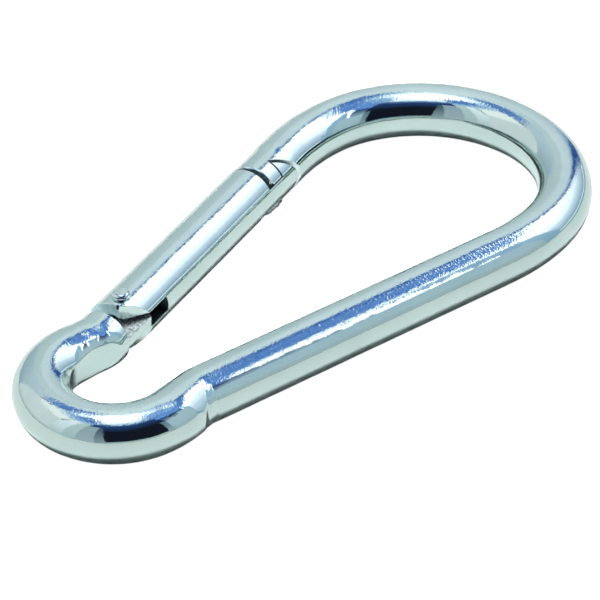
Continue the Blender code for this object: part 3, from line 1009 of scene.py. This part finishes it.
def make_studio():
    black = (0.011, 0.014, 0.026)
    navy = (0.030, 0.070, 0.23)
    deep_blue = (0.12, 0.26, 0.66)
    blue = (0.20, 0.37, 0.86)
    light_blue = (0.30, 0.53, 1.05)
    band_dark = (0.04, 0.11, 0.42)
    band_light = (0.30, 0.58, 1.30)
    sky = (0.60, 0.85, 1.15)
    low_wall = (0.62, 0.70, 0.76)
    wall = (0.80, 0.90, 0.95)
    high_wall = (1.00, 1.08, 1.18)
    bright = (0.96, 1.00, 1.03)
    white = (2.4, 2.4, 2.4)
    cards = [
        (((-147, 5), (-84, 5), (-84, 42), (-153.75, 42)), black, black),
        (box_corners(-147, -84, 0, 5), (0.62, 0.74, 0.76), (0.50, 0.60, 0.64)),
        (box_corners(-84, -78, 0, 42), (0.46, 0.58, 0.63), (0.16, 0.26, 0.36)),
        (box_corners(-156, -76, 42, 60), black, navy),
        (box_corners(-180, -72, 60, 68), navy, (0.16, 0.30, 0.58)),
        (box_corners(-180, -156, 56, 60), navy, navy),
        (box_corners(-180, -72, 68, 78), (0.8, 1.0, 1.3), (1.7, 1.7, 1.8)),
        (((-160, 0), (-147, 0), (-156, 56), (-162, 56)), (0.40, 0.50, 0.56), (0.08, 0.12, 0.20)),
        (((-180, 0), (-160, 0), (-162, 56), (-180, 56)), (0.54, 0.64, 0.70), (0.46, 0.56, 0.64)),
        (box_corners(-78, -51, 0, 12), (0.58, 0.68, 0.74), (0.54, 0.66, 0.74)),
        (box_corners(-78, -51, 12, 36), (0.60, 0.74, 0.83), (0.58, 0.73, 0.90)),
        (((-78, 36), (-59, 36), (-52, 52), (-76, 52)), (0.46, 0.60, 0.74), navy),
        (((-59, 36), (-51, 36), (-42, 52), (-52, 52)), (0.45, 0.62, 0.85), (0.40, 0.60, 0.95)),
        (box_corners(-51, -42, 0, 36), (0.36, 0.55, 0.72), (0.50, 0.72, 0.95)),
        (((-51, 36), (-42, 36), (-42, 52), (-42, 52)), (0.50, 0.72, 0.95), (0.50, 0.72, 0.95)),
        (box_corners(-42, 11, 24, 52), (1.23, 1.28, 1.48), white),
        (box_corners(-42, 11, 5.5, 24), (0.36, 0.50, 0.66), (1.05, 1.15, 1.40)),
        (box_corners(-42, 11, 4, 5.5), (1.7, 1.8, 1.8), (1.7, 1.8, 1.8)),
        (box_corners(-42, 11, 0, 4), (0.34, 0.54, 0.72), (0.36, 0.56, 0.74)),
        (box_corners(11, 22, 0, 48), (0.40, 0.55, 0.78), (0.80, 0.95, 1.15)),
        (box_corners(-76, 9, 52, 66), band_dark, band_light, "mottled"),
        (box_corners(9, 26, 48, 60), band_dark, (0.12, 0.30, 0.78), "mottled"),
        (box_corners(9, 26, 60, 66), blue, sky),
        (box_corners(26, 62, 48, 66), (0.98, 1.07, 1.14), (1.08, 1.14, 1.20)),
        (box_corners(22, 44, 0, 48), low_wall, high_wall),
        (box_corners(44, 62, 0, 48), low_wall, wall),
        (box_corners(62, 91, 0, 50), (0.44, 0.56, 0.66), (0.78, 0.88, 1.00)),
        (box_corners(62, 96, 50, 66), blue, deep_blue),
        (box_corners(91, 150, 0, 10), low_wall, bright),
        (box_corners(91, 150, 10, 45), (0.92, 0.97, 1.0), bright),
        (box_corners(96, 148, 45, 60), (1.3, 1.3, 1.3), (1.3, 1.3, 1.3)),
        (box_corners(150, 166, 0, 60), (0.66, 0.78, 0.84), (1.25, 1.28, 1.38)),
        (box_corners(166, 180, 0, 60), (0.62, 0.74, 0.78), (0.76, 0.86, 0.90)),
        (box_corners(96, 180, 60, 68), (0.7, 0.9, 1.1), light_blue),
        (box_corners(112, 180, 68, 78), deep_blue, blue),
        (box_corners(-72, -12, 66, 78), (0.14, 0.28, 0.62), (0.60, 0.90, 1.40), "mottled"),
        (box_corners(-12, 112, 66, 78), (0.6, 0.8, 1.15), white),
        (box_corners(-180, 180, 78, 90), white, white, "lamp"),
    ]
    for number, (corners, low_colour, high_colour, *kind) in enumerate(cards, 1):
        card("studio_card_%02d" % number, corners, low_colour, high_colour, *kind)
    strip = ((8, 0.1), (18, 0.1), (16.3, 48), (11, 48))
    streak_low = ((-62, 36), (-58, 36), (-51.5, 48.5), (-56, 51.5))
    streak_high = ((-56, 51.5), (-51.5, 48.5), (-42, 54), (-43, 57))
    in_front = [
        ("studio_strip", strip, (0.05, 0.12, 0.42), (0.03, 0.09, 0.36)),
        ("studio_streak_low", streak_low, white, white),
        ("studio_streak_high", streak_high, white, white),
        ("studio_blue_edge", box_corners(57, 63, 52, 66), blue, deep_blue),
    ]
    for name, corners, low_colour, high_colour in in_front:
        card(name, corners, low_colour, high_colour, distance=FRONT_CARD_DISTANCE)

    make_floor("studio_floor", 0.0, glow=1.0, seen=True)
    make_floor("studio_floor_reflected", MIRRORED_FLOOR_Z, glow=0.0, seen=False)
    make_lamp()
    make_world()


def make_lamp():
    lamp_data = bpy.data.lights.new("overhead_softbox", "AREA")
    lamp_data.shape = "DISK"
    lamp_data.size = LAMP_SIZE
    lamp_data.energy = LAMP_POWER
    lamp_data.color = LAMP_COLOUR
    lamp = bpy.data.objects.new("overhead_softbox", lamp_data)
    lamp.location = LAMP_PLACE
    lamp.rotation_mode = "QUATERNION"
    lamp.rotation_quaternion = (-lamp.location).to_track_quat("-Z", "Y")
    lamp.visible_glossy = False
    lamp.visible_camera = False
    bpy.context.scene.collection.objects.link(lamp)


def make_world():
    world = bpy.data.worlds.new("studio")
    bpy.context.scene.world = world
    world.use_nodes = True
    background = world.node_tree.nodes["Background"]
    background.inputs["Color"].default_value = (WORLD_GREY, WORLD_GREY, WORLD_GREY, 1)
    background.inputs["Strength"].default_value = WORLD_STRENGTH


def make_camera():
    data = bpy.data.cameras.new("camera")
    data.lens = CAMERA_LENS
    data.sensor_width = 36.0
    data.clip_start = 0.01
    data.clip_end = 50
    camera = bpy.data.objects.new("camera", data)
    bpy.context.scene.collection.objects.link(camera)
    azimuth, elevation = math.radians(CAMERA_AZIMUTH), math.radians(CAMERA_ELEVATION)
    back = Vector((
        math.sin(azimuth) * math.cos(elevation),
        -math.cos(azimuth) * math.cos(elevation),
        math.sin(elevation),
    ))
    camera.location = CAMERA_TARGET + back * CAMERA_DISTANCE
    camera.rotation_mode = "QUATERNION"
    camera.rotation_quaternion = (-back).to_track_quat("-Z", "Y")
    bpy.context.scene.camera = camera


finishes = {
    "body": metal(
        "bright_zinc", ZINC_DARK, ZINC_LIGHT, ZINC_ROUGHNESS,
        peel=0.3, grain=0.9, edge=EDGE_R, crown_grain=True
    ),
    "gate": metal(
        "bright_zinc_gate", ZINC_DARK, ZINC_LIGHT, ZINC_ROUGHNESS,
        peel=0.3, grain=0.8, edge=EDGE_R, crown_grain=True
    ),
    "nose": cut_metal(
        "cut_zinc_nose", (0.66, 0.78, 0.80), (0.78, 0.88, 0.89), (0.3, 0.45), edge=EDGE_R
    ),
    "recess": cut_metal(
        "cut_zinc_recess", (0.50, 0.62, 0.64), (0.60, 0.70, 0.72), (0.2, 0.3), edge=EDGE_R
    ),
    "relief": cut_metal(
        "ground_zinc_relief", (0.56, 0.68, 0.66), (0.62, 0.73, 0.70), (0.12, 0.2), edge=EDGE_R
    ),
    "end": cut_metal(
        "sawn_zinc_end", (0.60, 0.76, 0.78), (0.72, 0.86, 0.87), (0.3, 0.45), edge=EDGE_R
    ),
    "tongue": cut_metal(
        "stamped_zinc_tongue", (0.30, 0.38, 0.40), (0.92, 0.98, 0.98), (0.25, 0.4),
        lines=0.2, dents=0.7, metallic=0.4, patches=1300.0
    ),
    # Near-black finish for the stamped lump: painted shade, standing for the shadowed floor it
    # mirrors.
    "lump": cut_metal(
        "stamped_lump_painted_shade", (0.04, 0.06, 0.06), (0.24, 0.30, 0.30), (0.2, 0.4), lines=0.3, dents=0.5
    ),
    # Near-black finish: painted shade in the holes, the slot, the bore, the pit and the recess
    # floor.
    "slot": cut_metal("painted_shade_hollows", (0.06, 0.08, 0.09), (0.12, 0.16, 0.18), (0.3, 0.5)),
}
rivet_zinc = metal(
    "zinc_rivet", (0.50, 0.60, 0.59), (0.58, 0.67, 0.65), (0.06, 0.12), peel=0.2, grain=0.3
)
pin_steel = metal(
    "pin_steel", (0.36, 0.37, 0.38), (0.52, 0.53, 0.54), (0.25, 0.40), peel=0.2, grain=0.2
)
spring_steel = metal(
    "spring_steel", (0.34, 0.35, 0.36), (0.50, 0.51, 0.52), (0.22, 0.34), peel=0.2, grain=0.2
)

make_hook_body(finishes)
make_gate(finishes)
make_rivet(rivet_zinc)
make_thrust_pin(pin_steel)
make_spring(spring_steel)
make_studio()
make_camera()
bpy.context.scene.view_settings.view_transform = "Standard"
